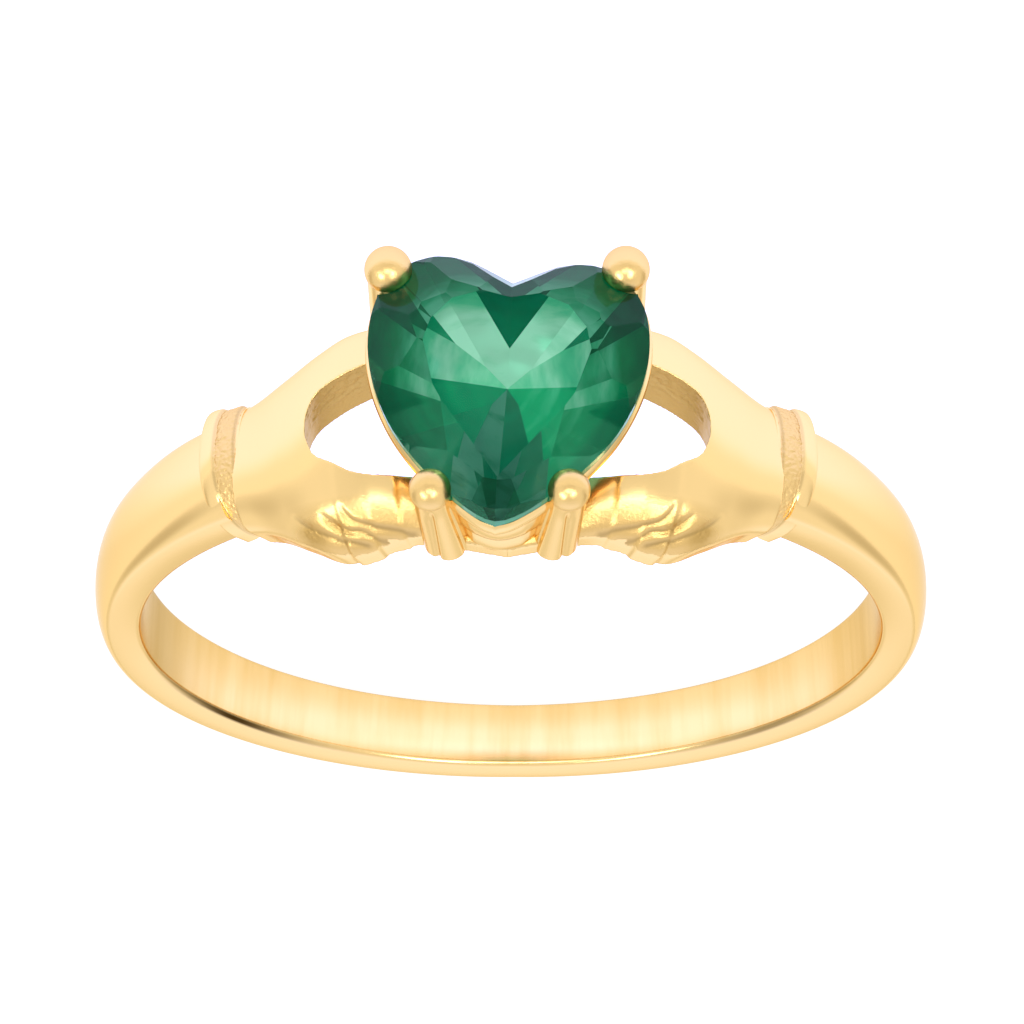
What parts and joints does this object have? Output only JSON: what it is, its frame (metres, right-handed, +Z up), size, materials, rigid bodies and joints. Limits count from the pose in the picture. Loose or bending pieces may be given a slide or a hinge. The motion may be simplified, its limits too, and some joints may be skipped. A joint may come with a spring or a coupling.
{
  "type": "claddagh ring",
  "caption": "Claddagh ring: two cuffed hands in yellow gold hold a heart-cut green stone in a pronged basket, on a plain tapering band.",
  "frame": {"origin": "centre of the box around the ring as it lies, at the level of the surface it lies on", "axes": "+Z up from the surface, +Y from the stone towards the foot of the band, +X across the hoop"},
  "size_m": [0.0186, 0.0214, 0.0064],
  "materials": {
    "gold": "cast 14 ct yellow gold, polished outside and inside, rough as cast in the opening and the cuff grooves",
    "emerald": "faceted and polished, clear green"
  },
  "bodies": {
    "root": {"ring": "gold", "stone": "emerald"}
  },
  "joints": []
}
